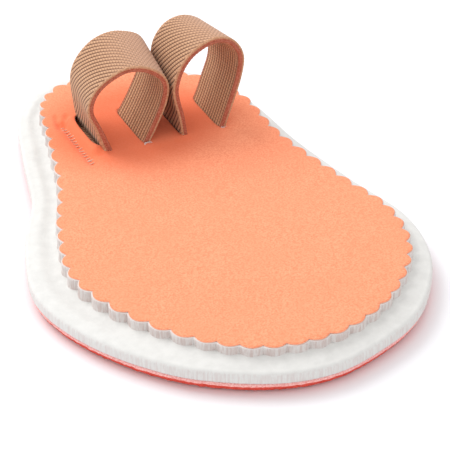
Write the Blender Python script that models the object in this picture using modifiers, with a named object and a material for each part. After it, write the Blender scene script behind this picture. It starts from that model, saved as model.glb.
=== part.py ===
"""Toe regulator: a soft foot pad with one elastic strap that makes two toe loops.

The pad is a stack of four layers. From the floor up they are a thin cloth backing,
a foam base, a thinner foam top pad and a napped cloth cover. The top pad and the
cover have a scalloped edge. The strap lies between the cover and the base, and comes
up through four slots to make the loops.

Frame: metres, +Z up, +Y towards the toes, +X across the foot. The origin is the
middle of the pad on the floor.
"""
import math
from collections import namedtuple

import bmesh
import bpy
from mathutils import Vector

MM = 0.001

# Pad layers
PAD_WIDTH = 73.4 * MM
PAD_LENGTH = 110.4 * MM
BACKING_THICKNESS = 1.0 * MM
BASE_THICKNESS = 3.7 * MM
TOP_PAD_THICKNESS = 1.2 * MM
COVER_THICKNESS = 1.0 * MM
LAYER_GAP = 0.3 * MM

# The underside curls up off the floor along the rim
RIM_LIFT = 1.3 * MM
RIM_RUN = 11.0 * MM

# Section of the base pad's margin
SHOULDER_RADIUS = 1.0 * MM
LIP_RISE = 0.25 * MM
VALLEY_DEPTH = 0.2 * MM

# Scalloped edge of the top pad and the cover. At the heel the scallops are shallower by
# a share of their depth. The heel's places are shares of half the pad's length.
COVER_MARGIN = 5.0 * MM
SCALLOP_PITCH = 4.34 * MM
SCALLOP_DEPTH = 1.0 * MM
HEEL_SHALLOWING = 0.35
HEEL_START = 0.65
HEEL_FULL = 0.85

# Elastic strap and its slots
STRAP_WIDTH = 14.8 * MM
STRAP_THICKNESS = 1.2 * MM
STRAP_BEND_RADIUS = 1.0 * MM
STRAP_LEAN = math.radians(24)
SLOT_SIDE_CLEARANCE = 0.55 * MM
SLOT_END_CLEARANCE = 0.35 * MM
SLOT_SPARE_LENGTH = 1.2 * MM
SLOT_CORNER_RADIUS = 0.3 * MM
SLOT_SPACING = 8.1 * MM
SLOT_ROW_OFFSET = 4.75 * MM
SLOT_ROW_SETBACK = 36.1 * MM
SLOT_ROW_STEP = -0.6 * MM
TAIL_MARGIN = 2.0 * MM
LEFT_LOOP_WIDTH = 17.4 * MM
LEFT_LOOP_HEIGHT = 18.4 * MM
RIGHT_LOOP_WIDTH = 16.0 * MM
RIGHT_LOOP_HEIGHT = 20.1 * MM

# Mesh fineness
OUTLINE_STEPS = 5
SCALLOP_STEPS = 5
SHOULDER_STEPS = 3
BEND_STEPS = 5
LOOP_STEPS = 3
SLOT_CORNER_STEPS = 3
CUT_OVERRUN = 1.0 * MM
WELD_DISTANCE = 0.01 * MM
SHARP_ANGLE = math.radians(45)

# Pad edge, clockwise from the toe end. across and along are shares of half the pad's
# width and length. margin is the share of COVER_MARGIN from the edge to the cover.
OutlinePoint = namedtuple("OutlinePoint", "across along margin")
PAD_OUTLINE = (
    OutlinePoint(-0.03, 1.000, 1.30),
    OutlinePoint(0.36, 0.965, 1.35),
    OutlinePoint(0.66, 0.810, 1.15),
    OutlinePoint(0.79, 0.550, 0.68),
    OutlinePoint(0.83, 0.220, 0.92),
    OutlinePoint(0.91, -0.100, 0.88),
    OutlinePoint(1.00, -0.380, 0.88),
    OutlinePoint(0.92, -0.640, 0.93),
    OutlinePoint(0.66, -0.860, 0.99),
    OutlinePoint(0.32, -0.970, 0.85),
    OutlinePoint(0.00, -1.000, 0.90),
    OutlinePoint(-0.33, -0.930, 0.83),
    OutlinePoint(-0.65, -0.770, 1.12),
    OutlinePoint(-0.90, -0.520, 1.34),
    OutlinePoint(-1.00, -0.250, 1.46),
    OutlinePoint(-0.88, 0.040, 1.39),
    OutlinePoint(-0.71, 0.270, 1.20),
    OutlinePoint(-0.60, 0.550, 1.24),
    OutlinePoint(-0.47, 0.810, 1.07),
    OutlinePoint(-0.28, 0.955, 1.14),
)

# How far past its even place each notch lies, in scallops, clockwise from the toe end
NotchShift = namedtuple("NotchShift", "scallop shift")
NOTCH_SHIFTS = (
    NotchShift(0, 0.0),
    NotchShift(11, 0.57),
    NotchShift(18, 0.83),
    NotchShift(22, 0.76),
    NotchShift(27, 0.54),
    NotchShift(30, 0.48),
    NotchShift(36, 0.18),
    NotchShift(41, 0.46),
    NotchShift(46, 0.30),
    NotchShift(49, 0.45),
    NotchShift(52, 0.80),
    NotchShift(55, 0.73),
    NotchShift(58, 0.10),
    NotchShift(60, 0.0),
)

# Shares of RIM_RUN at which the curled underside is drawn, from the flat middle out
CURL_INSETS = (1.0, 0.72, 0.48, 0.24, 0.0)

# Top of the base pad from its shoulder to under the cover's edge. inward is a share of
# the margin, lip a share of LIP_RISE and valley a share of VALLEY_DEPTH.
MarginSection = namedtuple("MarginSection", "inward lip valley")
MARGIN_SECTIONS = (
    MarginSection(0.36, 1.0, 0.0),
    MarginSection(0.50, 0.5, 0.0),
    MarginSection(0.72, 0.0, 1.0),
    MarginSection(0.90, 0.0, 0.5),
    MarginSection(1.10, 0.0, 0.0),
)

# Loops, from the left foot over the top to the right foot, along the middle of the
# strap's thickness. The front edge is the one nearer the heel. across is a share of
# half the loop's width from the middle of its slots, up a share of the loop's height.
LoopSection = namedtuple("LoopSection", "front_across front_up back_across back_up")
LEFT_LOOP = (
    LoopSection(-0.71, 0.28, -0.56, 0.25),
    LoopSection(-0.92, 0.52, -0.61, 0.48),
    LoopSection(-0.93, 0.69, -0.55, 0.65),
    LoopSection(-0.76, 0.85, -0.37, 0.79),
    LoopSection(-0.40, 0.96, -0.07, 0.91),
    LoopSection(0.02, 1.00, 0.32, 0.96),
    LoopSection(0.46, 0.94, 0.69, 0.93),
    LoopSection(0.83, 0.81, 1.02, 0.85),
    LoopSection(0.99, 0.64, 1.16, 0.70),
    LoopSection(0.92, 0.44, 1.06, 0.48),
    LoopSection(0.72, 0.23, 0.78, 0.23),
)
RIGHT_LOOP = (
    LoopSection(-0.59, 0.22, -0.51, 0.22),
    LoopSection(-0.72, 0.44, -0.54, 0.44),
    LoopSection(-0.73, 0.58, -0.54, 0.60),
    LoopSection(-0.59, 0.75, -0.45, 0.74),
    LoopSection(-0.32, 0.89, -0.22, 0.86),
    LoopSection(0.08, 0.98, 0.08, 0.91),
    LoopSection(0.45, 1.00, 0.40, 0.90),
    LoopSection(0.82, 0.93, 0.74, 0.82),
    LoopSection(1.04, 0.76, 1.00, 0.66),
    LoopSection(0.97, 0.54, 1.02, 0.44),
    LoopSection(0.74, 0.26, 0.76, 0.21),
)

# Heights of the layers in the flat middle of the pad
BASE_BOTTOM = BACKING_THICKNESS + LAYER_GAP
BASE_TOP = BASE_BOTTOM + BASE_THICKNESS
TOP_PAD_BOTTOM = BASE_TOP + LAYER_GAP
TOP_PAD_TOP = TOP_PAD_BOTTOM + TOP_PAD_THICKNESS
COVER_BOTTOM = max(TOP_PAD_TOP, TOP_PAD_BOTTOM + STRAP_THICKNESS) + LAYER_GAP
COVER_TOP = COVER_BOTTOM + COVER_THICKNESS
TAIL_HEIGHT = TOP_PAD_BOTTOM + STRAP_THICKNESS / 2

SLOT_WIDTH = STRAP_THICKNESS + 2 * SLOT_SIDE_CLEARANCE
SLOT_LENGTH = STRAP_WIDTH + 2 * SLOT_END_CLEARANCE + SLOT_SPARE_LENGTH
SLOT_COUNT = 4


def clear_scene():
    """Remove what the scene already holds."""
    for old in list(bpy.data.objects):
        bpy.data.objects.remove(old, do_unlink=True)


def new_collection(name):
    """Return a new collection that is linked to the scene."""
    collection = bpy.data.collections.new(name)
    bpy.context.scene.collection.children.link(collection)
    return collection


def material(name, colour, roughness):
    """Return a plain material with one colour and roughness."""
    made = bpy.data.materials.new(name)
    made.use_nodes = True
    shader = made.node_tree.nodes["Principled BSDF"]
    shader.inputs["Base Color"].default_value = (*colour, 1.0)
    shader.inputs["Roughness"].default_value = roughness
    shader.inputs["Metallic"].default_value = 0.0
    return made


def smooth_between(before, start, end, after, share):
    """Return the point at a share of the way from start to end on a smooth curve."""
    straight = end - before
    bend = 2 * before - 5 * start + 4 * end - after
    twist = 3 * start - before - 3 * end + after
    return 0.5 * (2 * start + straight * share + bend * share ** 2 + twist * share ** 3)


def closed_curve(points, steps):
    """Return a smooth closed curve through the points."""
    count = len(points)
    curve = []
    for index in range(count):
        nearby = [points[(index + offset) % count] for offset in (-1, 0, 1, 2)]
        curve += [smooth_between(*nearby, step / steps) for step in range(steps)]
    return curve


def open_curve(points, steps):
    """Return a smooth curve from the second point to the last but one."""
    curve = []
    for index in range(1, len(points) - 2):
        nearby = points[index - 1:index + 3]
        curve += [smooth_between(*nearby, step / steps) for step in range(steps)]
    curve.append(points[-2])
    return curve


def inward_normals(curve):
    """Return the unit directions into a closed clockwise curve, one at each point."""
    normals = []
    for index, _ in enumerate(curve):
        along = curve[(index + 1) % len(curve)] - curve[index - 1]
        normals.append(Vector((along.y, -along.x)).normalized())
    return normals


def pad_edge():
    """Return the pad's edge, the inward directions and the margin at each point."""
    half = Vector((PAD_WIDTH / 2, PAD_LENGTH / 2, COVER_MARGIN))
    rows = [Vector((row.across, row.along, row.margin)) * half for row in PAD_OUTLINE]
    curve = closed_curve(rows, OUTLINE_STEPS)
    edge = [point.to_2d() for point in curve]
    margins = [point.z for point in curve]
    return edge, inward_normals(edge), margins


def notch_line():
    """Return the smooth line through the notches of the scalloped edge."""
    edge, normals, margins = pad_edge()
    return [point + normal * margin for point, normal, margin in zip(edge, normals, margins)]


def notch_shift(scallop):
    """Return how far past its even place a scallop's first notch lies, in scallops."""
    for before, after in zip(NOTCH_SHIFTS, NOTCH_SHIFTS[1:]):
        if scallop <= after.scallop:
            share = (scallop - before.scallop) / (after.scallop - before.scallop)
            return before.shift + (after.shift - before.shift) * share
    return NOTCH_SHIFTS[-1].shift


def points_along(line, distances):
    """Return the points at rising distances along a closed line."""
    placed = []
    travelled = 0.0
    for start, end in zip(line, line[1:] + line[:1]):
        length = (end - start).length
        while len(placed) < len(distances) and distances[len(placed)] < travelled + length:
            placed.append(start.lerp(end, (distances[len(placed)] - travelled) / length))
        travelled += length
    return placed


def scallop_depth(point):
    """Return how far the scallops stand out at a place; they are shallower at the heel."""
    towards_heel = -point.y / (PAD_LENGTH / 2)
    heel = min(max((towards_heel - HEEL_START) / (HEEL_FULL - HEEL_START), 0.0), 1.0)
    return SCALLOP_DEPTH * (1 - HEEL_SHALLOWING * heel)


def scalloped_edge():
    """Return the notch line with a round scallop between each two notches."""
    line = notch_line()
    total = sum((end - start).length for start, end in zip(line, line[1:] + line[:1]))
    scallops = round(total / SCALLOP_PITCH)
    pitch = total / scallops
    distances = []
    for scallop in range(scallops):
        start = scallop + notch_shift(scallop)
        end = scallop + 1 + notch_shift(scallop + 1)
        for step in range(SCALLOP_STEPS):
            distances.append(pitch * (start + (end - start) * step / SCALLOP_STEPS))
    placed = points_along(line, distances)
    outline = []
    for index, (point, normal) in enumerate(zip(placed, inward_normals(placed))):
        bulge = scallop_depth(point) * math.sin(math.pi * (index % SCALLOP_STEPS) / SCALLOP_STEPS)
        outline.append(point - normal * bulge)
    return outline


def new_object(name, mesh, collection):
    """Return a new object that holds the mesh."""
    made = bpy.data.objects.new(name, mesh)
    collection.objects.link(made)
    return made


def shade_round(mesh):
    """Shade the mesh smooth, with its sharp corners kept."""
    mesh.shade_smooth()
    mesh.set_sharp_from_angle(angle=SHARP_ANGLE)


def lofted_layer(name, rings, collection, finish):
    """Return a closed layer skinned over rings of 3-D points, with flat end faces."""
    builder = bmesh.new()
    made_rings = [[builder.verts.new(point) for point in ring] for ring in rings]
    for lower, upper in zip(made_rings, made_rings[1:]):
        for index, _ in enumerate(lower):
            following = (index + 1) % len(lower)
            builder.faces.new((lower[index], upper[index], upper[following], lower[following]))
    builder.faces.new(made_rings[0])
    builder.faces.new(reversed(made_rings[-1]))
    bmesh.ops.recalc_face_normals(builder, faces=builder.faces)
    mesh = bpy.data.meshes.new(name)
    builder.to_mesh(mesh)
    builder.free()
    mesh.materials.append(finish)
    shade_round(mesh)
    return new_object(name, mesh, collection)


def underside_height(inset):
    """Return how far the underside is off the floor at a distance in from the edge."""
    return RIM_LIFT * (1 - inset / RIM_RUN) ** 2


def ring_at(inset, height):
    """Return the pad's edge moved in by one distance, at one height."""
    edge, normals, _ = pad_edge()
    level = Vector((0, 0, height))
    return [(point + normal * inset).to_3d() + level for point, normal in zip(edge, normals)]


def margin_ring(share, height):
    """Return the pad's edge moved in by a share of its margin, at one height."""
    edge, normals, margins = pad_edge()
    level = Vector((0, 0, height))
    return [
        (point + normal * margin * share).to_3d() + level
        for point, normal, margin in zip(edge, normals, margins)
    ]


def curled_rings(lift):
    """Return the rings of a surface that curls up with the rim, from the middle out."""
    insets = [RIM_RUN * share for share in CURL_INSETS]
    return [ring_at(inset, underside_height(inset) + lift) for inset in insets]


def make_backing(collection):
    """Make the cloth under the pad, of one thickness all over."""
    finish = material("coral_backing_cloth", (0.80, 0.16, 0.12), 0.95)
    upper = curled_rings(BACKING_THICKNESS)
    return lofted_layer("backing", curled_rings(0.0) + upper[::-1], collection, finish)


def make_base_pad(collection):
    """Make the foam base with its round shoulder, raised lip and shallow valley."""
    finish = material("white_base_foam", (0.88, 0.88, 0.86), 0.9)
    rings = curled_rings(BASE_BOTTOM)
    for step in range(SHOULDER_STEPS + 1):
        angle = math.pi / 2 * step / SHOULDER_STEPS
        inset = SHOULDER_RADIUS * (1 - math.cos(angle))
        rings.append(ring_at(inset, BASE_TOP - SHOULDER_RADIUS * (1 - math.sin(angle))))
    for section in MARGIN_SECTIONS:
        height = BASE_TOP + section.lip * LIP_RISE - section.valley * VALLEY_DEPTH
        rings.append(margin_ring(section.inward, height))
    return lofted_layer("base_pad", rings, collection, finish)


def flat_piece(name, outline, bottom, thickness, collection):
    """Return a flat piece of even thickness, cut to a closed outline."""
    curve = bpy.data.curves.new(name, "CURVE")
    curve.dimensions = "2D"
    curve.fill_mode = "BOTH"
    curve.extrude = thickness / 2
    spline = curve.splines.new("POLY")
    spline.points.add(len(outline) - 1)
    for place, point in zip(spline.points, outline):
        place.co = (point.x, point.y, 0.0, 1.0)
    spline.use_cyclic_u = True
    drawn = bpy.data.objects.new(name + "_outline", curve)
    drawn.location.z = bottom + thickness / 2
    collection.objects.link(drawn)
    bpy.context.view_layer.update()
    evaluated = drawn.evaluated_get(bpy.context.evaluated_depsgraph_get())
    mesh = bpy.data.meshes.new_from_object(evaluated)
    builder = bmesh.new()
    builder.from_mesh(mesh)
    bmesh.ops.remove_doubles(builder, verts=builder.verts, dist=WELD_DISTANCE)
    bmesh.ops.recalc_face_normals(builder, faces=builder.faces)
    builder.to_mesh(mesh)
    builder.free()
    made = new_object(name, mesh, collection)
    made.matrix_world = drawn.matrix_world
    bpy.data.objects.remove(drawn)
    return made


def cut(piece, cutter):
    """Cut the cutter's shape out of the piece and keep the cutter as a guide."""
    cutter.hide_render = True
    cutter.display_type = "WIRE"
    hole = piece.modifiers.new(cutter.name, "BOOLEAN")
    hole.operation = "DIFFERENCE"
    hole.solver = "EXACT"
    hole.object = cutter


def from_row_middle(slot):
    """Return how many slot steps a slot is from the middle of the row."""
    return slot - (SLOT_COUNT - 1) / 2


def slot_x(slot):
    """Return where a slot lies across the pad, counted from the left."""
    return SLOT_ROW_OFFSET + from_row_middle(slot) * SLOT_SPACING


def strap_front(slot):
    """Return where the strap's front edge lies along the pad at a slot."""
    row_front = PAD_LENGTH / 2 - SLOT_ROW_SETBACK
    return row_front + from_row_middle(slot) * SLOT_ROW_STEP + SLOT_END_CLEARANCE


def tail_ends():
    """Return where the strap's two hidden ends lie across the pad, inside the notches."""
    last = SLOT_COUNT - 1
    back = strap_front(0) + STRAP_WIDTH
    beside = [point.x for point in notch_line() if strap_front(last) <= point.y <= back]
    left = max(x for x in beside if x < slot_x(0))
    right = min(x for x in beside if x > slot_x(last))
    return left + TAIL_MARGIN, right - TAIL_MARGIN


def slot_outline(slot):
    """Return a slot's outline: a narrow rectangle with rounded corners."""
    radius = SLOT_CORNER_RADIUS
    reach = SLOT_WIDTH / 2 - radius
    front = strap_front(slot) - SLOT_END_CLEARANCE + radius
    back = front + SLOT_LENGTH - 2 * radius
    corners = ((reach, back), (-reach, back), (-reach, front), (reach, front))
    outline = []
    for quarter, (side, along) in enumerate(corners):
        for step in range(SLOT_CORNER_STEPS + 1):
            angle = math.pi / 2 * (quarter + step / SLOT_CORNER_STEPS)
            across = slot_x(slot) + side + radius * math.cos(angle)
            outline.append(Vector((across, along + radius * math.sin(angle))))
    return outline


def window_outlines():
    """Return the windows in the top pad that the strap's flat runs lie in."""
    last = SLOT_COUNT - 1
    left_end, right_end = tail_ends()
    at_slot = SLOT_WIDTH / 2 + SLOT_SIDE_CLEARANCE
    runs = (
        (0, 0, left_end - SLOT_END_CLEARANCE, slot_x(0) + at_slot),
        (1, 2, slot_x(1) - at_slot, slot_x(2) + at_slot),
        (last, last, slot_x(last) - at_slot, right_end + SLOT_END_CLEARANCE),
    )
    outlines = []
    for first_slot, second_slot, left, right in runs:
        fronts = (strap_front(first_slot), strap_front(second_slot))
        front = min(fronts) - SLOT_END_CLEARANCE
        back = max(fronts) + STRAP_WIDTH + SLOT_END_CLEARANCE
        corners = ((left, front), (right, front), (right, back), (left, back))
        outlines.append([Vector(corner) for corner in corners])
    return outlines


def make_top_pad(collection, cutters):
    """Make the scalloped foam pad with windows for the strap's flat runs."""
    finish = material("white_top_foam", (0.86, 0.84, 0.82), 0.9)
    pad = flat_piece("top_pad", scalloped_edge(), TOP_PAD_BOTTOM, TOP_PAD_THICKNESS, collection)
    pad.data.materials.append(finish)
    bottom = TOP_PAD_BOTTOM - CUT_OVERRUN
    depth = TOP_PAD_THICKNESS + 2 * CUT_OVERRUN
    for number, outline in enumerate(window_outlines(), start=1):
        cut(pad, flat_piece(f"strap_window_{number}", outline, bottom, depth, cutters))
    return pad


def make_top_cover(collection, cutters):
    """Make the scalloped cloth cover with its four slots."""
    finish = material("peach_cover_cloth", (0.98, 0.42, 0.23), 0.95)
    cover = flat_piece("top_cover", scalloped_edge(), COVER_BOTTOM, COVER_THICKNESS, collection)
    cover.data.materials.append(finish)
    bottom = COVER_BOTTOM - CUT_OVERRUN
    depth = COVER_THICKNESS + 2 * CUT_OVERRUN
    for slot in range(SLOT_COUNT):
        cut(cover, flat_piece(f"strap_slot_{slot + 1}", slot_outline(slot), bottom, depth, cutters))
    return cover


def bend_points(slot, side):
    """Return the strap's bend from its flat run up into a leg that leans outwards.

    side is -1 where the flat run lies to the left of the slot and 1 to the right.
    The points are (across, height) and end inside the cover.
    """
    turn = math.pi / 2 + STRAP_LEAN
    end_height = TAIL_HEIGHT + STRAP_BEND_RADIUS * (1 - math.cos(turn))
    end_reach = (COVER_TOP - end_height) * math.tan(STRAP_LEAN)
    start_x = slot_x(slot) - side * (end_reach - STRAP_BEND_RADIUS * math.sin(turn))
    points = []
    for step in range(BEND_STEPS + 1):
        angle = turn * step / BEND_STEPS
        across = start_x - side * STRAP_BEND_RADIUS * math.sin(angle)
        points.append(Vector((across, TAIL_HEIGHT + STRAP_BEND_RADIUS * (1 - math.cos(angle)))))
    return points


def loop_curves(first_slot, sections, width, height, start, end):
    """Return a loop's front and back edges as (across, height) points."""
    middle = Vector(((slot_x(first_slot) + slot_x(first_slot + 1)) / 2, COVER_TOP))
    half = Vector((width / 2, height))
    feet = [Vector((slot_x(first_slot + side), COVER_TOP)) for side in (0, 1)]
    front = [middle + Vector((row.front_across, row.front_up)) * half for row in sections]
    back = [middle + Vector((row.back_across, row.back_up)) * half for row in sections]
    return [open_curve([start, feet[0], *edge, feet[1], end], LOOP_STEPS) for edge in (front, back)]


def strap_sections():
    """Return the strap's sections from left to right, each a front and a back point."""
    sections = []

    def add(front_edge, back_edge, start_y, end_y):
        """Add a stretch whose front edge moves evenly from start_y to end_y."""
        for index, (front, back) in enumerate(zip(front_edge, back_edge)):
            front_y = start_y + (end_y - start_y) * index / max(1, len(front_edge) - 1)
            sections.append((
                Vector((front.x, front_y, front.y)),
                Vector((back.x, front_y + STRAP_WIDTH, back.y)),
            ))

    left_end, right_end = (Vector((across, TAIL_HEIGHT)) for across in tail_ends())
    add([left_end], [left_end], strap_front(0), strap_front(0))
    loops = (
        (0, LEFT_LOOP, LEFT_LOOP_WIDTH, LEFT_LOOP_HEIGHT),
        (2, RIGHT_LOOP, RIGHT_LOOP_WIDTH, RIGHT_LOOP_HEIGHT),
    )
    for first_slot, rows, width, height in loops:
        rise = bend_points(first_slot, -1)
        fall = bend_points(first_slot + 1, 1)[::-1]
        add(rise, rise, strap_front(first_slot), strap_front(first_slot))
        front, back = loop_curves(first_slot, rows, width, height, rise[-1], fall[0])
        add(front, back, strap_front(first_slot), strap_front(first_slot + 1))
        add(fall, fall, strap_front(first_slot + 1), strap_front(first_slot + 1))
    last = SLOT_COUNT - 1
    add([right_end], [right_end], strap_front(last), strap_front(last))
    return sections


def make_toe_strap(collection):
    """Make the elastic strap as an open strip that Solidify gives its thickness."""
    finish = material("tan_elastic", (0.55, 0.33, 0.21), 0.85)
    builder = bmesh.new()
    rows = [[builder.verts.new(point) for point in section] for section in strap_sections()]
    for (front, back), (next_front, next_back) in zip(rows, rows[1:]):
        builder.faces.new((front, next_front, next_back, back))
    mesh = bpy.data.meshes.new("toe_strap")
    builder.to_mesh(mesh)
    builder.free()
    mesh.materials.append(finish)
    shade_round(mesh)
    strap = new_object("toe_strap", mesh, collection)
    wall = strap.modifiers.new("thickness", "SOLIDIFY")
    wall.thickness = STRAP_THICKNESS
    wall.offset = 0.0
    wall.use_even_offset = True
    return strap


def build():
    """Build every piece of the toe regulator."""
    clear_scene()
    pieces = new_collection("toe_regulator")
    cutters = new_collection("cutters")
    make_backing(pieces)
    make_base_pad(pieces)
    make_top_pad(pieces, cutters)
    make_top_cover(pieces, cutters)
    make_toe_strap(pieces)


build()
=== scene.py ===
# %% [markdown]
# # A toe regulator, dressed for its picture
# A toe regulator is a soft foot pad with one elastic strap that comes up through the
# pad twice and makes two toe loops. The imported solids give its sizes. This script makes
# what the eye sees: the cut foam, the brushed cover, the knitted elastic and its seam.
# Every length is in metres, and MM turns millimetres into them.

# %% Load the solids
import math
import random

import bpy
import numpy as np
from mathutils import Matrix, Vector, geometry, noise


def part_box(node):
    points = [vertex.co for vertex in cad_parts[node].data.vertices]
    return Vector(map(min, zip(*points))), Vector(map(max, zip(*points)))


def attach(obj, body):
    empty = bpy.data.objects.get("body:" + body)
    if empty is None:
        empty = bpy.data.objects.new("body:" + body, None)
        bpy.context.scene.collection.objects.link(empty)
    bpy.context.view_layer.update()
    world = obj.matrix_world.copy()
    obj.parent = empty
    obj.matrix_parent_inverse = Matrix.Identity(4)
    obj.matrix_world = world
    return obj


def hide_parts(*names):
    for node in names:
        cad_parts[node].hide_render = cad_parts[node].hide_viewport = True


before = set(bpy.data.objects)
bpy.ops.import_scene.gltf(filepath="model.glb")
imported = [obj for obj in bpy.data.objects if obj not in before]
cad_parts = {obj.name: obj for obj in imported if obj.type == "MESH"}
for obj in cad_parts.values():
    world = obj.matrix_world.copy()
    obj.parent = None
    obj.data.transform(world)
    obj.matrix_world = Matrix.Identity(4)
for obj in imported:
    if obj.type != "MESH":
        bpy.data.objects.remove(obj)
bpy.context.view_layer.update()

MM = 0.001
print("solids:", sorted(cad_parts))

# %% [markdown]
# ## Camera
# The pad was photographed with a long lens from above its heel end, a little to the
# left. The lens and the place are worked out from how wide and how deep the pad looks
# in a square picture.

# %% Camera
CAMERA_PLACE = (-128.17 * MM, -279.84 * MM, 211.14 * MM)
CAMERA_DOWN = math.radians(34.4)
CAMERA_TURN = math.radians(-26)
CAMERA_LENS = 153.92
SENSOR_WIDTH = 36.0

camera_data = bpy.data.cameras.new("camera")
camera_data.lens = CAMERA_LENS
camera_data.sensor_width = SENSOR_WIDTH
camera = bpy.data.objects.new("camera", camera_data)
camera.location = CAMERA_PLACE
camera.rotation_euler = (math.pi / 2 - CAMERA_DOWN, 0, CAMERA_TURN)
bpy.context.scene.collection.objects.link(camera)
bpy.context.scene.camera = camera
print("camera is", round(camera.location.length / MM), "mm from the pad's middle")

# %% [markdown]
# ## Finishes
# A finish is a small tree of nodes. Each starts from the real material and from how its
# surface was made. One function turns a given colour into the linear colour
# that the renderer wants, and one adds a node with its settings and links.

# %% Tools for the finishes
CHANNEL_STEPS = 255
SRGB_TOE = 0.04045


def linear(hex_colour):
    """Return a colour such as #FBA87A as the four linear values that a node takes."""
    channels = [int(hex_colour[place:place + 2], 16) / CHANNEL_STEPS for place in (1, 3, 5)]
    values = [c / 12.92 if c <= SRGB_TOE else ((c + 0.055) / 1.055) ** 2.4 for c in channels]
    return (*values, 1.0)


def add_node(tree, kind, inputs=None, **settings):
    """Add a node, set its properties and give its inputs values or other nodes' outputs."""
    made = tree.nodes.new("ShaderNode" + kind)
    for name, value in settings.items():
        setattr(made, name, value)
    for key, value in (inputs or {}).items():
        if isinstance(value, bpy.types.NodeSocket):
            tree.links.new(value, made.inputs[key])
        else:
            made.inputs[key].default_value = value
    return made


def new_finish(name, roughness, specular=0.3):
    """Return a new material, its tree and its shader, with one roughness all over."""
    made = bpy.data.materials.new(name)
    made.use_nodes = True
    shader = made.node_tree.nodes["Principled BSDF"]
    shader.inputs["Roughness"].default_value = roughness
    shader.inputs["Specular IOR Level"].default_value = specular
    return made, made.node_tree, shader


# %% [markdown]
# ### Brushed microfibre of the cover
# The cover is a polyester suede: its loops are cut and brushed up, so the face is matt,
# takes the light softly at its edges and shows fine specks where tufts lean apart. A
# tuft is about 0.1 mm wide, too fine to show, so the specks are drawn 0.35 mm wide. Round
# the loops the colour is painted deeper and redder: painted shade for the loops' shadow.

# %% Cover finish
SPECK_WIDTH = 0.35 * MM
NAP_PATCH = 7.0 * MM
# Where the painted shade round the loops is centred and how far it reaches.
PAINTED_SHADE_MIDDLE = (1.0 * MM, 28.0 * MM, 0.0)
PAINTED_SHADE_REACH = (21.0 * MM, 17.0 * MM, 1.0)


def brushed_microfibre():
    """Return the peach suede of the cover, with painted shade round the loops."""
    finish, tree, shader = new_finish("brushed_microfibre", 0.95, 0.15)
    place = add_node(tree, "TexCoord").outputs["Object"]
    specks = add_node(tree, "TexNoise", {
        "Vector": place, "Scale": 1 / SPECK_WIDTH, "Detail": 3.0, "Roughness": 0.65})
    patches = add_node(tree, "TexNoise", {
        "Vector": place, "Scale": 1 / NAP_PATCH, "Detail": 2.0, "Roughness": 0.5})
    speck_tone = add_node(tree, "MapRange", {
        "Value": specks.outputs["Fac"], "From Min": 0.36, "From Max": 0.62})
    ground = add_node(tree, "Mix", {
        0: speck_tone.outputs[0], 6: linear("#EE8660"), 7: linear("#FDA47E")},
        data_type="RGBA")
    patch_tone = add_node(tree, "MapRange", {
        "Value": patches.outputs["Fac"], "From Min": 0.35, "From Max": 0.65,
        "To Min": 0.0, "To Max": 0.35})
    colour = add_node(tree, "Mix", {
        0: patch_tone.outputs[0], 6: ground.outputs[2], 7: linear("#F6926C")},
        data_type="RGBA")
    # Painted shade: the colour turns deeper and redder round the loops, where their shadow falls.
    from_middle = add_node(tree, "VectorMath", {0: place, 1: PAINTED_SHADE_MIDDLE},
                           operation="SUBTRACT")
    in_reach = add_node(tree, "VectorMath", {0: from_middle.outputs[0], 1: PAINTED_SHADE_REACH},
                        operation="DIVIDE")
    flat = add_node(tree, "VectorMath", {0: in_reach.outputs[0], 1: (1.0, 1.0, 0.0)},
                    operation="MULTIPLY")
    outside = add_node(tree, "VectorMath", {0: flat.outputs[0]}, operation="LENGTH")
    painted_shade = add_node(tree, "MapRange", {
        "Value": outside.outputs["Value"], "From Min": 1.2, "From Max": 0.6, "To Max": 0.8},
        interpolation_type="SMOOTHSTEP")
    with_painted_shade = add_node(tree, "Mix", {
        0: painted_shade.outputs[0], 6: colour.outputs[2], 7: linear("#F3774F")},
        data_type="RGBA")
    tree.links.new(with_painted_shade.outputs[2], shader.inputs["Base Color"])
    bump = add_node(tree, "Bump", {
        "Strength": 0.5, "Distance": 0.12 * MM, "Height": specks.outputs["Fac"]})
    tree.links.new(bump.outputs["Normal"], shader.inputs["Normal"])
    shader.inputs["Sheen Weight"].default_value = 0.3
    shader.inputs["Sheen Roughness"].default_value = 0.5
    shader.inputs["Sheen Tint"].default_value = linear("#FFD3BC")
    return finish


# %% [markdown]
# ### White foam
# Both white layers are soft polyurethane foam. Its pressed faces are nearly smooth with
# a faint mottle. A knife cut leaves fine upright scores and torn fibres on its walls, so
# a second pattern is stretched along Z, and shows only where the surface stands upright.
# The walls are also painted greyer and pinker than the faces: painted shade and painted
# glow from the coral sole.

# %% Foam finish
FOAM_MOTTLE = 2.2 * MM
SCORE_WIDTH = 0.45 * MM
SCORE_STRETCH = 0.12


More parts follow.
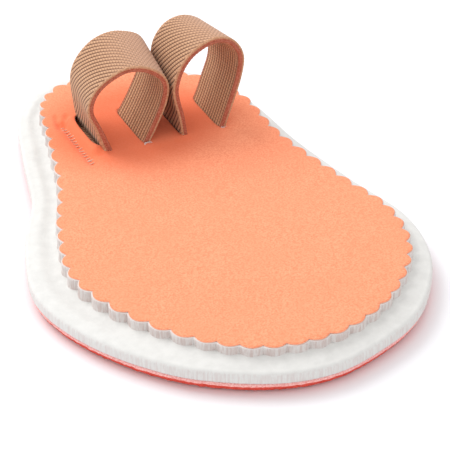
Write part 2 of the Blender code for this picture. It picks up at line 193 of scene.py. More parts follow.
def cut_foam(name, face_colour, shade_colour, painted_wall_shade):
    """Return a white foam with a mottled face and scored walls in painted shade."""
    finish, tree, shader = new_finish(name, 0.85, 0.25)
    place = add_node(tree, "TexCoord").outputs["Object"]
    mottle = add_node(tree, "TexNoise", {
        "Vector": place, "Scale": 1 / FOAM_MOTTLE, "Detail": 3.0, "Roughness": 0.6})
    mottle_tone = add_node(tree, "MapRange", {
        "Value": mottle.outputs["Fac"], "From Min": 0.35, "From Max": 0.65})
    face = add_node(tree, "Mix", {
        0: mottle_tone.outputs[0], 6: linear(shade_colour), 7: linear(face_colour)},
        data_type="RGBA")
    stretched = add_node(tree, "Mapping", {
        "Vector": place, "Scale": (1.0, 1.0, SCORE_STRETCH)})
    scores = add_node(tree, "TexNoise", {
        "Vector": stretched.outputs[0], "Scale": 1 / SCORE_WIDTH, "Detail": 3.0,
        "Roughness": 0.7})
    score_tone = add_node(tree, "MapRange", {
        "Value": scores.outputs["Fac"], "From Min": 0.38, "From Max": 0.6})
    # The walls mix the face colour with a greyer, pinker one: painted shade and painted glow from the
    # coral sole.
    shaded_wall = add_node(tree, "Mix", {
        0: score_tone.outputs[0], 6: linear(painted_wall_shade), 7: linear(face_colour)},
        data_type="RGBA")
    facing = add_node(tree, "SeparateXYZ", {0: add_node(tree, "NewGeometry").outputs["Normal"]})
    upright = add_node(tree, "MapRange", {
        "Value": facing.outputs["Z"], "From Min": 0.75, "From Max": 0.35})
    colour = add_node(tree, "Mix", {
        0: upright.outputs[0], 6: face.outputs[2], 7: shaded_wall.outputs[2]}, data_type="RGBA")
    tree.links.new(colour.outputs[2], shader.inputs["Base Color"])
    height = add_node(tree, "Mix", {
        0: upright.outputs[0], 2: mottle.outputs["Fac"], 3: scores.outputs["Fac"]})
    bump = add_node(tree, "Bump", {
        "Strength": 0.6, "Distance": 0.15 * MM, "Height": height.outputs[0]})
    tree.links.new(bump.outputs["Normal"], shader.inputs["Normal"])
    return finish


# %% [markdown]
# ### Knitted elastic
# The strap is a warp-knitted elastic of tan polyester over rubber threads. Outside, its
# stitches lie in cords that slant across it, 1.15 mm apart, with gaps between, as in a
# twill; the gaps and the spaces between stitches are painted dark, as painted shade. The
# bend pulls the cords apart on the rising side of each loop, and past the top they close
# to a pinker knit of small Vs. Inside, the cords run along the strap; the inside's yarn
# is painted lighter than the outside's, as painted light on the shaded insides of the loops.
# Both faces are drawn in the strap's own directions, which its mesh keeps as a map in
# mm, and the mesh also says how far the cords stand apart.

# %% Elastic finish
TWILL_PITCH = 1.15 * MM
TWILL_SLOPE = 0.815
TWILL_STITCH = 0.5 * MM
RIB_PITCH = 1.0 * MM
CHAIN_PITCH = 0.62 * MM
CHAIN_SLANT = 1.2
YARN_SPECK = 0.22 * MM


def knitted_elastic(name, cord, stitch, colours):
    """Return tan elastic from its cords (pitch, slope), stitches and colours; the last colour is
    painted shade in the gaps.
    """
    cord_pitch, cord_slope = cord
    stitch_pitch, stitch_slant, stitch_depth = stitch
    wrap_light, wrap_dark, closed_knit, gap = colours
    finish, tree, shader = new_finish(name, 0.8, 0.2)
    strap_map = add_node(tree, "UVMap", uv_map="along_and_across")
    parts = add_node(tree, "SeparateXYZ", {0: strap_map.outputs[0]})
    lines = add_node(tree, "Math", {
        0: parts.outputs["X"], 1: cord_slope, 2: parts.outputs["Y"]}, operation="MULTIPLY_ADD")
    cords = add_node(tree, "Math", {0: lines.outputs[0], 1: cord_pitch / MM}, operation="DIVIDE")
    in_cord = add_node(tree, "Math", {0: cords.outputs[0]}, operation="FRACT")
    from_crest = add_node(tree, "Math", {0: in_cord.outputs[0], 1: 0.5}, operation="SUBTRACT")
    off_crest = add_node(tree, "Math", {0: from_crest.outputs[0]}, operation="ABSOLUTE")
    groove = add_node(tree, "MapRange", {
        "Value": off_crest.outputs[0], "From Min": 0.25, "From Max": 0.43})
    steps = add_node(tree, "Math", {
        0: parts.outputs["X"], 1: stitch_pitch / MM}, operation="DIVIDE")
    phase = add_node(tree, "Math", {
        0: off_crest.outputs[0], 1: stitch_slant, 2: steps.outputs[0]}, operation="MULTIPLY_ADD")
    turned = add_node(tree, "Math", {0: phase.outputs[0], 1: math.tau}, operation="MULTIPLY")
    wave = add_node(tree, "Math", {0: turned.outputs[0]}, operation="SINE")
    between = add_node(tree, "MapRange", {
        "Value": wave.outputs[0], "From Min": -0.95, "From Max": 0.1, "To Min": stitch_depth,
        "To Max": 0.0})
    place = add_node(tree, "TexCoord").outputs["Object"]
    yarn = add_node(tree, "TexNoise", {
        "Vector": place, "Scale": 1 / YARN_SPECK, "Detail": 2.0, "Roughness": 0.7})
    yarn_tone = add_node(tree, "MapRange", {
        "Value": yarn.outputs["Fac"], "From Min": 0.35, "From Max": 0.65})
    wrap = add_node(tree, "Mix", {
        0: yarn_tone.outputs[0], 6: linear(wrap_dark), 7: linear(wrap_light)},
        data_type="RGBA")
    apart = add_node(tree, "Attribute", attribute_name="cords_apart").outputs["Fac"]
    closed = add_node(tree, "Mix", {
        0: yarn_tone.outputs[0], 6: linear(wrap_dark), 7: linear(closed_knit)},
        data_type="RGBA")
    ground = add_node(tree, "Mix", {
        0: apart, 6: closed.outputs[2], 7: wrap.outputs[2]}, data_type="RGBA")
    # Painted shade: the gaps between stitches and between cords take the dark gap colour.
    with_stitch_shade = add_node(tree, "Mix", {
        0: between.outputs[0], 6: ground.outputs[2], 7: linear(gap)}, data_type="RGBA")
    open_groove = add_node(tree, "Math", {0: groove.outputs[0], 1: apart}, operation="MULTIPLY")
    with_groove_shade = add_node(tree, "Mix", {
        0: open_groove.outputs[0], 6: with_stitch_shade.outputs[2], 7: linear(gap)}, data_type="RGBA")
    tree.links.new(with_groove_shade.outputs[2], shader.inputs["Base Color"])
    relief = add_node(tree, "Math", {
        0: yarn.outputs["Fac"], 1: between.outputs[0]}, operation="SUBTRACT")
    bump = add_node(tree, "Bump", {
        "Strength": 0.5, "Distance": 0.1 * MM, "Height": relief.outputs[0]})
    tree.links.new(bump.outputs["Normal"], shader.inputs["Normal"])
    shader.inputs["Sheen Weight"].default_value = 0.1
    return finish


# %% Plain yarns and the sole cloth
def spun_yarn(name, dark, light, speck):
    """Return a matt spun yarn or cloth of two close colours."""
    finish, tree, shader = new_finish(name, 0.9, 0.2)
    place = add_node(tree, "TexCoord").outputs["Object"]
    fibre = add_node(tree, "TexNoise", {
        "Vector": place, "Scale": 1 / speck, "Detail": 3.0, "Roughness": 0.7})
    tone = add_node(tree, "MapRange", {
        "Value": fibre.outputs["Fac"], "From Min": 0.35, "From Max": 0.65})
    colour = add_node(tree, "Mix", {
        0: tone.outputs[0], 6: linear(dark), 7: linear(light)}, data_type="RGBA")
    tree.links.new(colour.outputs[2], shader.inputs["Base Color"])
    bump = add_node(tree, "Bump", {
        "Strength": 0.5, "Distance": 0.1 * MM, "Height": fibre.outputs["Fac"]})
    tree.links.new(bump.outputs["Normal"], shader.inputs["Normal"])
    return finish


COVER_FINISH = brushed_microfibre()
# The last colour of each foam is its walls' painted shade and painted glow from the sole.
BASE_FINISH = cut_foam("pressed_white_foam", "#DBDAD7", "#D4D3D0", "#D3CBC8")
TOP_FOAM_FINISH = cut_foam("sliced_white_foam", "#D8D2CF", "#D1C9C5", "#C8B8B3")
# The last colour of each elastic is the painted shade in the knit's gaps.
ELASTIC_FACE = knitted_elastic(
    "knitted_elastic_face", (TWILL_PITCH, TWILL_SLOPE), (TWILL_STITCH, 0.9, 0.45),
    ("#D6AA86", "#BE9070", "#D3A892", "#5C3722"))
# Painted light: the inside's yarn colours are lighter than the outside's, to lift the shaded insides
# of the loops.
ELASTIC_BACK_PAINTED_LIGHTER = knitted_elastic(
    "knitted_elastic_back_painted_lighter", (RIB_PITCH, 0.0), (CHAIN_PITCH, CHAIN_SLANT, 0.5),
    ("#E9BF98", "#CA9C77", "#E9BF98", "#7C4C33"))
RIM_FINISH = spun_yarn("elastic_rim_yarn", "#A87858", "#D0A585", 0.35 * MM)
# Painted shade: the lower part of the strap's edges and its hidden ends are reddish brown, for shade
# with warm bounce light.
EDGE_SHADE_FINISH = spun_yarn("elastic_edge_painted_shade", "#9A4F3A", "#C07A64", 0.3 * MM)
THREAD_FINISH = spun_yarn("seam_thread", "#C48A74", "#F3C8AE", 0.25 * MM)
# Painted light: the cover's cut edge is paler than its face, which lifts the shade on the edge.
COVER_EDGE_LIGHT_FINISH = spun_yarn("cut_edge_of_cover_painted_light", "#F7A483", "#FFC3A6", 0.25 * MM)
FRAY_FINISH = spun_yarn("frayed_fibre", "#D9CCC6", "#F2EAE6", 0.3 * MM)
SOLE_FINISH = spun_yarn("coral_sole_cloth", "#CC4236", "#EA5E4E", 0.5 * MM)
SOLE_EDGE_FINISH = spun_yarn("cut_edge_of_sole", "#EC8F88", "#FFCFCA", 0.3 * MM)
print("finishes:", len(bpy.data.materials))

# %% [markdown]
# ## The pad's outline
# The outline is one smooth closed curve through twenty points. Each point is a share of
# half the pad's width and length, and also says how wide the bare margin is there. A
# curve through few points keeps the edge as fair as the die that cut the real pad.

# %% Outline
pad_low, pad_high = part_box("base_pad")
HALF_WIDTH = (pad_high.x - pad_low.x) / 2
HALF_LENGTH = (pad_high.y - pad_low.y) / 2
COVER_MARGIN = 5.0 * MM
PAD_OUTLINE = (
    # across, along, margin
    (-0.03, 1.000, 1.30),
    (0.36, 0.965, 1.35),
    (0.66, 0.810, 1.15),
    (0.79, 0.550, 0.68),
    (0.83, 0.220, 0.92),
    (0.91, -0.100, 0.88),
    (1.00, -0.380, 0.88),
    (0.92, -0.640, 0.93),
    (0.66, -0.860, 0.99),
    (0.32, -0.970, 0.85),
    (0.00, -1.000, 0.90),
    (-0.33, -0.930, 0.83),
    (-0.65, -0.770, 1.12),
    (-0.90, -0.520, 1.34),
    (-1.00, -0.250, 1.46),
    (-0.88, 0.040, 1.39),
    (-0.71, 0.270, 1.20),
    (-0.60, 0.550, 1.24),
    (-0.47, 0.810, 1.07),
    (-0.28, 0.955, 1.14),
)


def soft_step(value, start, end):
    """Return 0 before start and 1 after end, with a smooth rise between."""
    share = min(max((value - start) / (end - start), 0.0), 1.0)
    return share * share * (3 - 2 * share)


def smooth_between(before, start, end, after, share):
    """Return the point at a share of the way from start to end on a smooth curve."""
    straight = end - before
    bend = 2 * before - 5 * start + 4 * end - after
    twist = 3 * start - before - 3 * end + after
    return 0.5 * (2 * start + straight * share + bend * share ** 2 + twist * share ** 3)


def closed_curve(points, steps):
    """Return a smooth closed curve through the points."""
    count = len(points)
    curve = []
    for index in range(count):
        nearby = [points[(index + offset) % count] for offset in (-1, 0, 1, 2)]
        curve += [smooth_between(*nearby, step / steps) for step in range(steps)]
    return curve


def open_curve(points, steps):
    """Return a smooth curve from the second point to the last but one."""
    curve = []
    for index in range(1, len(points) - 2):
        nearby = points[index - 1:index + 3]
        curve += [smooth_between(*nearby, step / steps) for step in range(steps)]
    curve.append(points[-2])
    return curve


def inward_normals(curve):
    """Return the unit directions into a closed clockwise curve, one at each point."""
    normals = []
    for index, _ in enumerate(curve):
        along = curve[(index + 1) % len(curve)] - curve[index - 1]
        normals.append(Vector((along.y, -along.x)).normalized())
    return normals


def pad_edge(steps):
    """Return the pad's edge, the inward directions and the margins."""
    half = Vector((HALF_WIDTH, HALF_LENGTH, COVER_MARGIN))
    curve = closed_curve([Vector(row) * half for row in PAD_OUTLINE], steps)
    edge = [point.to_2d() for point in curve]
    return edge, inward_normals(edge), [point.z for point in curve]


print("pad:", round(2 * HALF_WIDTH / MM, 1), "by", round(2 * HALF_LENGTH / MM, 1), "mm")

# %% [markdown]
# ## Sole cloth
# The underside is faced with a thin coral knit. It lies flat in the middle and curls up
# with the rim, where it bulges down to a round hem. From above its cut edge shows as a
# fuzzy pink line over the red hem, and the floor under the rim glows with its colour. It
# is lofted from a few rings of the pad's edge.

# %% Rings and lofts
RIM_LIFT = 2.3 * MM
RIM_RUN = 11.0 * MM
SOLE_THICKNESS = 0.42 * MM
CURL_INSETS = (1.0, 0.85, 0.7, 0.56, 0.43, 0.31, 0.22, 0.15, 0.08, 0.03, 0.0)


def underside_height(inset):
    """Return how far the sole is off the floor at a distance in from the edge."""
    return RIM_LIFT * (1 - min(inset / RIM_RUN, 1)) ** 2


def new_piece(name, mesh, finish, node):
    """Return a piece made from a mesh, with its finish, that stands for a solid."""
    piece = bpy.data.objects.new(name, mesh)
    bpy.context.scene.collection.objects.link(piece)
    mesh.materials.append(finish)
    mesh.shade_smooth()
    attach(piece, "root")
    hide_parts(node)
    return piece


def loft_faces(ring_count, around):
    """Return the quads between closed rings that each have the same number of points."""
    faces = []
    for ring in range(ring_count - 1):
        for index in range(around):
            following = (index + 1) % around
            low, high = ring * around, (ring + 1) * around
            faces.append((low + index, low + following, high + following, high + index))
    return faces


def lofted_mesh(name, rings):
    """Return a closed mesh over rings that run from the bottom's middle to the top's."""
    around = len(rings[0])
    points = [point for ring in rings for point in ring]
    faces = loft_faces(len(rings), around)
    bottom, top = len(points), len(points) + 1
    points.append(sum(rings[0], Vector()) / around)
    points.append(sum(rings[-1], Vector()) / around)
    last = (len(rings) - 1) * around
    for index in range(around):
        following = (index + 1) % around
        faces.append((following, index, bottom))
        faces.append((last + index, last + following, top))
    mesh = bpy.data.meshes.new(name)
    mesh.from_pydata(points, [], faces)
    return mesh


def ring_at(inset, height, steps):
    """Return the pad's edge moved in by a distance, at one height."""
    edge, normals, _ = pad_edge(steps)
    return [Vector((*(point + normal * inset), height)) for point, normal in zip(edge, normals)]


# %% Sole cloth
SOLE_STEPS = 30
SOLE_FUZZ = 0.16 * MM
SOLE_TUCK = 0.02 * MM
HEM_RUN = 1.2 * MM
HEM_FLOOR = 0.15 * MM


def make_sole():
    """Make the thin coral cloth that curls up with the rim."""
    insets = [max(RIM_RUN * share, SOLE_TUCK) for share in CURL_INSETS[:-1]]
    lower = [ring_at(inset, underside_height(inset), SOLE_STEPS) for inset in insets]
    upper = [[point + Vector((0, 0, SOLE_THICKNESS)) for point in ring] for ring in lower]
    for inset, ring in zip(insets, lower):
        for point in ring:
            hem = HEM_FLOOR + (RIM_LIFT - HEM_FLOOR) * max(0.0, 1 - inset / HEM_RUN)
            point.z = min(point.z, hem)
    rings = lower + upper[::-1]
    for ring in rings:
        for point in ring:
            point.xy += Vector((1, 1)) * SOLE_FUZZ * noise.noise(point / (0.8 * MM))
    sole = new_piece("sole_cloth", lofted_mesh("sole_cloth", rings), SOLE_FINISH,
                     "backing")
    sole.data.materials.append(SOLE_EDGE_FINISH)
    around = len(rings[0])
    for face in sole.data.polygons[(len(lower) - 1) * around:len(lower) * around]:
        face.material_index = 1
    area = loop_area(ring_at(0, 0, SOLE_STEPS))
    return sole


def loop_area(loop):
    """Return the area inside a closed loop of points."""
    following = loop[1:] + loop[:1]
    return abs(sum(a.x * b.y - b.x * a.y for a, b in zip(loop, following))) / 2


sole_cloth = make_sole()
print("sole cloth:", len(sole_cloth.data.polygons), "faces")

# %% [markdown]
# ## Base foam
# The base is about 5 mm of foam. Its knife-cut wall stands upright over a round
# shoulder, then a soft lip runs round the rim and a shallow valley lies between it and
# the cover. Small even waves and upright scores are moved into the mesh itself, so that
# the rim also looks cut and pressed from the side.

# %% Base foam
BASE_TOP = 5.0 * MM
SHOULDER_RADIUS = 0.9 * MM
LIP_RISE = 0.22 * MM
VALLEY_DEPTH = 0.5 * MM
BESIDE_COVER = 0.55 * MM
HEEL_SWELL = 0.45 * MM
BASE_STEPS = 72
WALL_ROWS = 7
SHOULDER_ROWS = 6
SCORE_DEPTH = 0.05 * MM
RIM_WAVE = 0.12 * MM
MARGIN_PROFILE = (
    # share of the margin past the shoulder, lip, valley, beside the cover
    (0.06, 0.30, 0.0, 0.0),
    (0.13, 0.70, 0.0, 0.0),
    (0.20, 0.95, 0.0, 0.02),
    (0.28, 1.0, 0.05, 0.08),
    (0.36, 0.85, 0.3, 0.2),
    (0.44, 0.6, 0.6, 0.35),
    (0.52, 0.35, 0.85, 0.5),
    (0.62, 0.15, 1.0, 0.65),
    (0.72, 0.0, 0.95, 0.8),
    (0.81, 0.0, 0.7, 0.92),
    (0.90, 0.0, 0.4, 1.0),
    (1.00, 0.0, 0.2, 1.0),
    (1.15, 0.0, 0.0, 0.6),
    (1.40, 0.0, 0.0, 0.0),
)


def make_base_foam():
    """Make the base foam with its scored wall, lip and valley."""
    edge, normals, margins = pad_edge(BASE_STEPS)
    rings = [ring_at(RIM_RUN * share, underside_height(RIM_RUN * share) + SOLE_THICKNESS,
                     BASE_STEPS) for share in CURL_INSETS]
    wall_foot = RIM_LIFT + SOLE_THICKNESS
    wall_head = BASE_TOP - SHOULDER_RADIUS
    for row in range(1, WALL_ROWS + 1):
        rings.append(ring_at(0, wall_foot + (wall_head - wall_foot) * row / WALL_ROWS, BASE_STEPS))
    for row in range(1, SHOULDER_ROWS + 1):
        angle = math.pi / 2 * row / SHOULDER_ROWS
        inset = SHOULDER_RADIUS * (1 - math.cos(angle))
        rings.append(ring_at(inset, wall_head + SHOULDER_RADIUS * math.sin(angle), BASE_STEPS))
    for share, lip, valley, beside in MARGIN_PROFILE:
        level = BASE_TOP + LIP_RISE * lip
        rings.append([
            Vector((*(point + normal * (SHOULDER_RADIUS + (margin - SHOULDER_RADIUS) * share)),
                    level + beside_cover(point) * beside
                    - VALLEY_DEPTH * valley * valley_share(point)))
            for point, normal, margin in zip(edge, normals, margins)
        ])
    roughen_wall(rings, normals)
    foam = new_piece("base_foam", lofted_mesh("base_foam", rings), BASE_FINISH,
                     "base_pad")
    return foam


def beside_cover(point):
    """Return how far the base swells up beside the cover, which is most at the heel."""
    return BESIDE_COVER + HEEL_SWELL * soft_step(-point.y / HALF_LENGTH, 0.45, 0.8)


def valley_share(point):
    """Return how much of the valley shows at a place: all of it but at the heel."""
    return 1 - 0.85 * soft_step(-point.y / HALF_LENGTH, 0.25, 0.75)


def roughen_wall(rings, normals):
    """Score the wall upright and let the rim and its lip wave a little."""
    first = len(CURL_INSETS) - 1
    for number, ring in enumerate(rings[first:]):
        fade = 1.0 if number <= WALL_ROWS else max(0.0, 1 - (number - WALL_ROWS) / SHOULDER_ROWS)
        for index, point in enumerate(ring):
            here = Vector((point.x, point.y, point.z * SCORE_STRETCH))
            score = noise.noise(here / SCORE_WIDTH) * SCORE_DEPTH * fade
            wave = noise.noise(Vector((point.x, point.y, 0)) / (9 * MM)) * RIM_WAVE
            point.xy -= normals[index] * (score + wave * fade)
            if number > WALL_ROWS:
                soft = noise.noise(Vector((point.x, point.y, 7.0)) / (6 * MM))
                point.z += soft * RIM_WAVE * 0.8


base_foam = make_base_foam()
print("base foam:", len(base_foam.data.polygons), "faces")

# %% [markdown]
# ## Scalloped layers
# The top foam and the cover were cut together with a scalloping knife: round lobes 4.3 mm
# wide with a sharp notch between. Each layer is a flat outline filled with triangles. A
# grid of points inside it lets the cloth rise over the strap and sink at the seam.

# %% Scalloped outline
SCALLOP_PITCH = 4.34 * MM
SCALLOP_DEPTH = 1.0 * MM
SCALLOP_STEPS = 14
OUTLINE_STEPS = 20
HEEL_SHALLOWING = 0.35
HEEL_START = 0.65
HEEL_FULL = 0.85
COVER_TIP_INSET = 0.15 * MM
COVER_NOTCH_INSET = 0.35 * MM
NOTCH_SHIFTS = (
    # scallop, shift in pitches
    (0, 0.00),
    (11, 0.57),
    (18, 0.83),
    (22, 0.76),
    (27, 0.54),
    (30, 0.48),
    (36, 0.18),
    (41, 0.46),
    (46, 0.30),
    (49, 0.45),
    (52, 0.80),
    (55, 0.73),
    (58, 0.10),
    (60, 0.00),
)


def notch_shift(scallop):
    """Return how many pitches a notch lies past its even place, as the knife was hand set."""
    scallops, shifts = zip(*NOTCH_SHIFTS)
    return float(np.interp(scallop, scallops, shifts))


def points_along(line, distances):
    """Return the points at rising distances along a closed line."""
    placed = []
    travelled = 0.0
    for start, end in zip(line, line[1:] + line[:1]):
        length = (end - start).length
        while len(placed) < len(distances) and distances[len(placed)] < travelled + length:
            placed.append(start.lerp(end, (distances[len(placed)] - travelled) / length))
        travelled += length
    return placed


def heel_share(point, start, full):
    """Return 0 before start and 1 past full, on the way from the middle to the heel."""
    towards_heel = -point.y / HALF_LENGTH
    return min(max((towards_heel - start) / (full - start), 0.0), 1.0)


def scalloped_edge(tip_inset, notch_inset):
    """Return a scalloped outline and its inward directions.

    Its tips and notches lie a little further in than those of the foam.
    """
    edge, normals, margins = pad_edge(OUTLINE_STEPS)
    line = [point + normal * margin for point, normal, margin in zip(edge, normals, margins)]
    length = sum((end - start).length for start, end in zip(line, line[1:] + line[:1]))
    count = round(length / SCALLOP_PITCH)
    distances = []
    for scallop in range(count):
        start = scallop + notch_shift(scallop)
        end = scallop + 1 + notch_shift(scallop + 1)
        distances += [length / count * (start + (end - start) * step / SCALLOP_STEPS)
                      for step in range(SCALLOP_STEPS)]
    placed = points_along(line, distances)
    inward = inward_normals(placed)
    outline = []
    for index, (point, normal) in enumerate(zip(placed, inward)):
        lobe = math.sin(math.pi * (index % SCALLOP_STEPS) / SCALLOP_STEPS)
        depth = SCALLOP_DEPTH * (1 - HEEL_SHALLOWING * heel_share(point, HEEL_START, HEEL_FULL))
        inset = tip_inset + (notch_inset - tip_inset) * (1 - lobe)
        outline.append(point + normal * (inset - depth * lobe ** 0.8))
    return outline, inward


SCALLOPS, SCALLOP_INWARD = scalloped_edge(0.0, 0.0)
COVER_EDGE, _ = scalloped_edge(COVER_TIP_INSET, COVER_NOTCH_INSET)
print("scallops:", len(SCALLOPS) // SCALLOP_STEPS)

# %% Slots and windows
STRAP_WIDTH = 14.8 * MM
STRAP_THICKNESS = 1.2 * MM
SLOT_SIDE_CLEARANCE = 0.55 * MM
SLOT_END_CLEARANCE = 0.35 * MM
SLOT_SPARE_LENGTH = 1.2 * MM
SLOT_CLOTH_GAP = 0.06 * MM
STRAP_LEAN = math.radians(24)
SLOT_SPACING = 8.1 * MM
SLOT_ROW_OFFSET = 4.75 * MM
SLOT_ROW_SETBACK = 36.1 * MM
SLOT_ROW_STEP = -0.6 * MM
SLOT_COUNT = 4
SLOT_CORNER_RADIUS = 0.5 * MM
SLOT_STEPS = 24
SLOT_BLUNTNESS = 10
SLOT_GAPE_POWER = 4
SLOT_GAPES = (
    # gape on the left, gape on the right, length past the strap's back, pinch of the strap
    (1.65 * MM, 0.35 * MM, 0.10 * MM, 0.0 * MM),
    (0.10 * MM, 0.10 * MM, 0.70 * MM, 0.9 * MM),
    (0.10 * MM, 0.10 * MM, 0.10 * MM, 0.5 * MM),
    (0.15 * MM, 0.10 * MM, 0.15 * MM, 1.6 * MM),
)
TAIL_LEFT = -13.1 * MM
TAIL_RIGHT = 21.5 * MM


def slot_x(slot):
    """Return where a slot lies across the pad, counted from the left."""
    return SLOT_ROW_OFFSET + (slot - (SLOT_COUNT - 1) / 2) * SLOT_SPACING


def strap_front(slot):
    """Return where the strap's front edge lies along the pad at a slot."""
    row_front = HALF_LENGTH - SLOT_ROW_SETBACK
    return row_front + (slot - (SLOT_COUNT - 1) / 2) * SLOT_ROW_STEP + SLOT_END_CLEARANCE


def rounded_box(left, right, front, back, radius, steps):
    """Return the outline of a rectangle with round corners, counterclockwise."""
    middles = (
        (right - radius, back - radius),
        (left + radius, back - radius),
        (left + radius, front + radius),
        (right - radius, front + radius),
    )
    outline = []
    for quarter, (x, y) in enumerate(middles):
        for step in range(steps + 1):
            angle = math.pi / 2 * (quarter + step / steps)
            outline.append(Vector((x + radius * math.cos(angle), y + radius * math.sin(angle))))
    return outline


def slot_outline(slot):
    """Return a slot's outline in the cover: a slit that gapes softly round the strap."""
    left, right, beyond, pinch = SLOT_GAPES[slot]
    half = STRAP_THICKNESS / 2 / math.cos(STRAP_LEAN) + SLOT_CLOTH_GAP
    front = strap_front(slot) - SLOT_CLOTH_GAP
    back = strap_front(slot) + STRAP_WIDTH - pinch + beyond
    sides = []
    for side, gape in ((1, right), (-1, left)):
        for step in range(SLOT_STEPS):
            share = (1 - side * math.cos(math.pi * step / SLOT_STEPS)) / 2
            blunt = 1 - abs(2 * share - 1) ** SLOT_BLUNTNESS
            reach = half * blunt + gape * (1 - abs(2 * share - 1) ** SLOT_GAPE_POWER)
            sides.append(Vector((slot_x(slot) + side * reach, front + (back - front) * share)))
    return sides


def window_outlines():
    """Return the windows in the top foam that the strap's flat runs lie in."""
    past_slot = STRAP_THICKNESS / 2 + 2 * SLOT_SIDE_CLEARANCE
    runs = (
        (0, 0, TAIL_LEFT - SLOT_END_CLEARANCE, slot_x(0) + past_slot),
        (1, 2, slot_x(1) - past_slot, slot_x(2) + past_slot),
        (3, 3, slot_x(3) - past_slot, TAIL_RIGHT + SLOT_END_CLEARANCE),
    )
    windows = []
    for first, last, left, right in runs:
        front = strap_front(last) - SLOT_END_CLEARANCE
        back = strap_front(first) + STRAP_WIDTH + SLOT_END_CLEARANCE + SLOT_SPARE_LENGTH
        windows.append(rounded_box(left, right, front, back, SLOT_CORNER_RADIUS, 2))
    return windows


# %% Fill an outline with triangles
def loop_edges(loops):
    """Return the edges of closed loops whose points are numbered one after another."""
    edges = []
    start = 0
    for loop in loops:
        count = len(loop)
        edges += [(start + index, start + (index + 1) % count) for index in range(count)]
        start += count
    return edges


def filled(loops, inner_points):
    """Return the points and the triangles inside the first loop and outside the others."""
    points = [point for loop in loops for point in loop] + inner_points
    found = geometry.delaunay_2d_cdt(points, loop_edges(loops), [], 2, 1e-9)
    number = [source[0] for source in found[3]]
    faces = [tuple(number[corner] for corner in face) for face in found[2]]
    flat = np.array(points)
    middles = flat[np.array(faces)].mean(axis=1)
    kept = inside(loops[0], middles)
    for hole in loops[1:]:
        kept &= ~inside(hole, middles)
    return points, [face for face, keep in zip(faces, kept) if keep]


def inside(loop, grid):
    """Return which points of a grid lie inside a loop."""
    x, y = grid[:, 0, None], grid[:, 1, None]
    a = np.array(loop)
    b = np.roll(a, -1, axis=0)
    straddles = (a[:, 1] > y) != (b[:, 1] > y)
    rise = np.where(b[:, 1] == a[:, 1], 1.0, b[:, 1] - a[:, 1])
    crossing = a[:, 0] + (y - a[:, 1]) * (b[:, 0] - a[:, 0]) / rise
    return (straddles & (x < crossing)).sum(axis=1) % 2 == 1


def nearest(loop, grid):
    """Return the distance from each point of a grid to the closest point of a loop."""
    gaps = grid[:, None, :] - np.array(loop)[None, :, :]
    return np.sqrt((gaps ** 2).sum(axis=2)).min(axis=1)


def grid_inside(loops, pitch, clear):
    """Return a triangular grid inside the first loop, clear of every loop's edge."""
    xs = np.arange(-HALF_WIDTH, HALF_WIDTH, pitch)
    ys = np.arange(-HALF_LENGTH, HALF_LENGTH, pitch)
    grid = np.array([
        (x + pitch / 2 * (row % 2), y) for row, y in enumerate(ys) for x in xs])
    kept = inside(loops[0], grid)
    for hole in loops[1:]:
        kept &= ~inside(hole, grid)
    grid = grid[kept]
    for loop in loops:
        grid = grid[nearest(loop, grid) > clear]
    return [Vector(point) for point in grid]


# %% [markdown]
# ### Relief of the cover
# The cover droops at its cut edge, rises over the strap's tail beside the first slot and
# is pulled down along the seam that holds the tail. These are small bumps and dips added
# to one height for each point, and the foam's top stays just under them.

# %% Cover relief
COVER_TOP = 7.8 * MM
COVER_CLOTH = 0.2 * MM
COVER_GRID = 0.45 * MM
EDGE_DROOP = 0.06 * MM
EDGE_RUN = 0.5 * MM
SEAM_X = -11.75 * MM
SEAM_FRONT = 18.2 * MM
SEAM_BACK = 34.1 * MM
SEAM_DEPTH = 0.85 * MM
SEAM_REACH = 0.85 * MM
TAIL_RISE = 1.2 * MM
CREASE_DEPTH = 0.5 * MM
CREASE_WIDTH = 0.42 * MM
CREASES = (
    # from across, along, to across, along
    (-11.9 * MM, 37.4 * MM, -12.9 * MM, 32.6 * MM),
    (-9.8 * MM, 36.8 * MM, -11.2 * MM, 33.6 * MM),
)


def mound(x, y, left, right, front, back, soft):
    """Return 1 inside a rectangle and 0 outside it, with soft sides."""
    across = soft_step(x, left - soft, left) * (1 - soft_step(x, right, right + soft))
    along = soft_step(y, front - soft, front) * (1 - soft_step(y, back, back + soft))
    return across * along


def near_line(point, start, end, width):
    """Return 1 on a stretch of line and less beside it, with soft ends."""
    nearest_point, share = geometry.intersect_point_line(point, start, end)
    if not 0 < share < 1:
        nearest_point = start if share <= 0 else end
    return math.exp(-((point - nearest_point.to_2d()).length / width) ** 2)


def cover_height(x, y, to_edge):
    """Return the height of the cover's face."""
    here = Vector((x, y))
    front, back = strap_front(0), strap_front(0) + STRAP_WIDTH
    slot_side = slot_x(0) - STRAP_THICKNESS / 2 - SLOT_SIDE_CLEARANCE
    height = COVER_TOP - EDGE_DROOP * math.exp(-to_edge / EDGE_RUN)
    height += TAIL_RISE * mound(x, y, slot_side - 1.3 * MM, slot_side + 0.2 * MM,
                                front + 1.0 * MM, back - 1.0 * MM, 1.5 * MM)
    height += 0.12 * MM * mound(x, y, slot_x(1), slot_x(2), strap_front(2), back, 2 * MM)
    height += 0.15 * MM * mound(x, y, slot_x(3), TAIL_RIGHT - 1 * MM, strap_front(3),
                                back, 2 * MM)
    seam = (Vector((SEAM_X, SEAM_FRONT)), Vector((SEAM_X, SEAM_BACK)))
    height -= SEAM_DEPTH * near_line(here, *seam, SEAM_REACH)
    for x_start, y_start, x_end, y_end in CREASES:
        crease = (Vector((x_start, y_start)), Vector((x_end, y_end)))
        height -= CREASE_DEPTH * near_line(here, *crease, CREASE_WIDTH)
    height += 0.07 * MM * noise.noise(Vector((x, y, 0)) / (11 * MM))
    height += 0.03 * MM * noise.noise(Vector((x, y, 3)) / (1.6 * MM))
    return height


